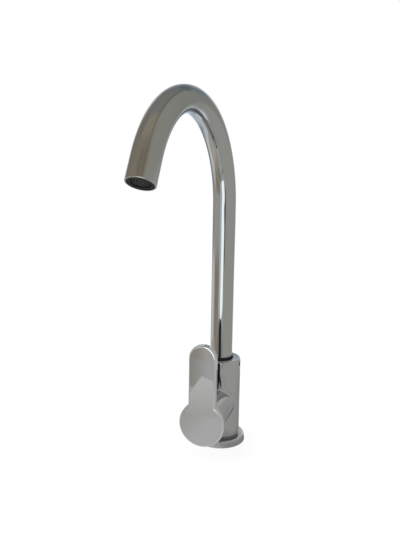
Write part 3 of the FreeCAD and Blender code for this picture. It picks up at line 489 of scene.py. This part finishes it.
def cover_of(distances, soft):
    """How far a patch covers a point, from the point's distances inside the patch's sides."""
    cover = 1.0
    for distance in distances:
        cover *= min(1.0, max(0.0, 0.5 + distance / soft))
    return cover * cover * (3 - 2 * cover)


def pleated(patch, azimuth):
    """A curtain patch with the tone of its pleats at an azimuth."""
    *edges, colour = patch
    tone = 1 + PLEAT_DEPTH * math.cos(2 * math.pi * (azimuth + PLEAT_SHIFT) / PLEAT_WIDTH)
    return *edges, Vector(colour) * tone


def wall_colour(direction):
    """The tent wall's colour in a direction from the eye, with each soft patch laid over it in turn."""
    azimuth = math.degrees(math.atan2(direction.x, -direction.y))
    elevation = math.degrees(math.asin(direction.normalized().z))
    lean_right = math.degrees(math.atan2(direction.x, direction.z))
    lean_front = math.degrees(math.atan2(-direction.y, direction.z))
    colour = Vector(WALL_GREY).lerp(Vector(HIGH_GREY), cover_of((elevation - HIGH_FROM,), HIGH_SOFT))
    for left, right, back, front, soft, patch in ROOF_PATCHES:
        inside = (lean_right - left, right - lean_right, lean_front - back, front - lean_front)
        colour = colour.lerp(Vector(patch), cover_of(inside, soft))
    curtain = [pleated(patch, azimuth) for patch in CURTAIN_PATCHES]
    for left, right, low, high, soft, patch in (*curtain, *PLAIN_PATCHES):
        off_middle = abs((azimuth - (left + right) / 2 + 180) % 360 - 180)
        inside = ((right - left) / 2 - off_middle, elevation - low, high - elevation)
        colour = colour.lerp(Vector(patch), cover_of(inside, soft))
    return colour


def floor_colour(x, y):
    """The colour of the tent's floor cloth at a place."""
    colour = Vector(FLOOR_GREY)
    for left, right, front, back, soft, patch in FLOOR_PATCHES:
        colour = colour.lerp(Vector(patch), cover_of((x - left, right - x, y - front, back - y), soft))
    return colour


tent_glow = bpy.data.materials.new("tent_glow_paint")
tent_glow.use_nodes = True
tree = tent_glow.node_tree
tree.nodes.clear()
tone = add(tree, "ShaderNodeVertexColor", layer_name="tone")
# the tent glows with its painted tones, which the chrome shows as painted reflections; it lights nothing
# else
shine = add(tree, "ShaderNodeEmission", {"Color": tone.outputs["Color"], "Strength": 1.0})
add(tree, "ShaderNodeOutputMaterial", {"Surface": shine.outputs[0]})


def hang(name, corners, faces, tones):
    """Adds a piece of the tent, seen only in reflections, with a tone at every corner."""
    mesh = bpy.data.meshes.new(name)
    mesh.from_pydata(corners, [], faces)
    layer = mesh.color_attributes.new("tone", "FLOAT_COLOR", "POINT")
    for index, colour in enumerate(tones):
        layer.data[index].color = (*colour, 1)
    mesh.materials.append(tent_glow)
    piece = bpy.data.objects.new(name, mesh)
    bpy.context.scene.collection.objects.link(piece)
    for ray in ("camera", "diffuse", "shadow", "transmission", "volume_scatter"):
        setattr(piece, f"visible_{ray}", False)


# the wall is a rounded tent, left open below the floor
COLUMNS, ROWS = 360, 140
wall_corners = []
for row in range(ROWS + 1):
    tilt = math.pi * row / ROWS - math.pi / 2
    for column in range(COLUMNS):
        turned_by = 2 * math.pi * column / COLUMNS
        x = TENT_RADIUS.x * math.cos(tilt) * math.sin(turned_by)
        y = -TENT_RADIUS.y * math.cos(tilt) * math.cos(turned_by)
        z = TENT_RADIUS.z * math.sin(tilt)
        wall_corners.append(TENT_CENTRE + Vector((x, y, z)))
wall_faces = []
for row in range(ROWS):
    below, above = row * COLUMNS, (row + 1) * COLUMNS
    for column in range(COLUMNS):
        after = (column + 1) % COLUMNS
        face = (below + column, below + after, above + after, above + column)
        if max(wall_corners[index].z for index in face) > 0:
            wall_faces.append(face)
hang("tent_wall", wall_corners, wall_faces, [wall_colour(corner - EYE) for corner in wall_corners])

# the floor cloth lies a hair above the floor
CLOTH_LIFT = 0.0003
CLOTH_CELLS = 84
CLOTH_STEP = 0.01
cloth_corners = []
for row in range(CLOTH_CELLS + 1):
    y = TENT_CENTRE.y + (row - CLOTH_CELLS / 2) * CLOTH_STEP
    for column in range(CLOTH_CELLS + 1):
        x = TENT_CENTRE.x + (column - CLOTH_CELLS / 2) * CLOTH_STEP
        cloth_corners.append(Vector((x, y, CLOTH_LIFT)))
cloth_faces = []
for row in range(CLOTH_CELLS):
    for column in range(CLOTH_CELLS):
        near = row * (CLOTH_CELLS + 1) + column
        far = near + CLOTH_CELLS + 1
        cloth_faces.append((near, near + 1, far + 1, far))
cloth_tones = [floor_colour(corner.x, corner.y) for corner in cloth_corners]
hang("tent_floor", cloth_corners, cloth_faces, cloth_tones)

# in front a pale card with a pointed far end lies on the cloth, half over a darker card
PALE_FAR = ((-0.075, -0.255), (-0.08, -0.326), (0.06, -0.231))
PALE_NEAR = ((-0.07, -0.19), (-0.04, -0.19), (0.06, -0.19))
PALE_TONES = ((0.54, 0.54, 0.53), (0.61, 0.61, 0.61), (0.61, 0.61, 0.61))
pale_corners = [Vector((x, y, 3 * CLOTH_LIFT)) for x, y in PALE_FAR + PALE_NEAR]
pale_tones = [*PALE_TONES, *(floor_colour(x, y) for x, y in PALE_NEAR)]
hang("pale_card", pale_corners, [(0, 1, 4, 3), (1, 2, 5, 4)], pale_tones)

# the darker card shades off to the right
DARK_CARD = ((-0.14, -0.44), (-0.11, -0.44), (-0.055, -0.28), (-0.085, -0.28))
DARK_TONE = (0.31, 0.3, 0.265)
SHADED_TONE = (0.44, 0.44, 0.43)
dark_corners = [Vector((x, y, 2 * CLOTH_LIFT)) for x, y in DARK_CARD]
hang("dark_card", dark_corners, [(0, 1, 2, 3)], [DARK_TONE, SHADED_TONE, SHADED_TONE, DARK_TONE])

# ---------------------------------------------------------------- lamps
# Two broad soft lamps outside the tent, from the front left and the right.
LAMP_AIM = Vector((0, -0.05, 0.15))
LAMP_WIDTH = 1.2
for name, place, power in (("key", (-0.9, -1.1, 1.5), 9.0), ("fill", (1.3, -0.5, 1.1), 4.0)):
    lamp_data = bpy.data.lights.new(name, "AREA")
    lamp_data.energy = power
    lamp_data.size = LAMP_WIDTH
    lamp = bpy.data.objects.new(name, lamp_data)
    lamp.location = place
    lamp.rotation_mode = "QUATERNION"
    lamp.rotation_quaternion = (LAMP_AIM - Vector(place)).to_track_quat("-Z", "Y")
    bpy.context.scene.collection.objects.link(lamp)

# ---------------------------------------------------------------- camera
# Level with the outlet and to the right of the lever's plane, looking down a little.
CAMERA_PLACE = (0.155, -0.5667, 0.2897)
CAMERA_TURN = math.radians(17.8)
CAMERA_RISE = math.radians(81.34)
CAMERA_ROLL = math.radians(0.88)
CAMERA_LENS = 36.13
CAMERA_SENSOR = 36.0
camera_data = bpy.data.cameras.new("camera")
camera_data.sensor_fit = "VERTICAL"
camera_data.sensor_width = CAMERA_SENSOR
camera_data.sensor_height = CAMERA_SENSOR
camera_data.lens = CAMERA_LENS
camera = bpy.data.objects.new("camera", camera_data)
camera.matrix_world = (
    Matrix.Translation(CAMERA_PLACE)
    @ Matrix.Rotation(CAMERA_TURN, 4, "Z")
    @ Matrix.Rotation(CAMERA_RISE, 4, "X")
    @ Matrix.Rotation(CAMERA_ROLL, 4, "Z"))
bpy.context.scene.collection.objects.link(camera)
bpy.context.scene.camera = camera
bpy.context.scene.view_settings.view_transform = "Standard"

bpy.context.view_layer.update()
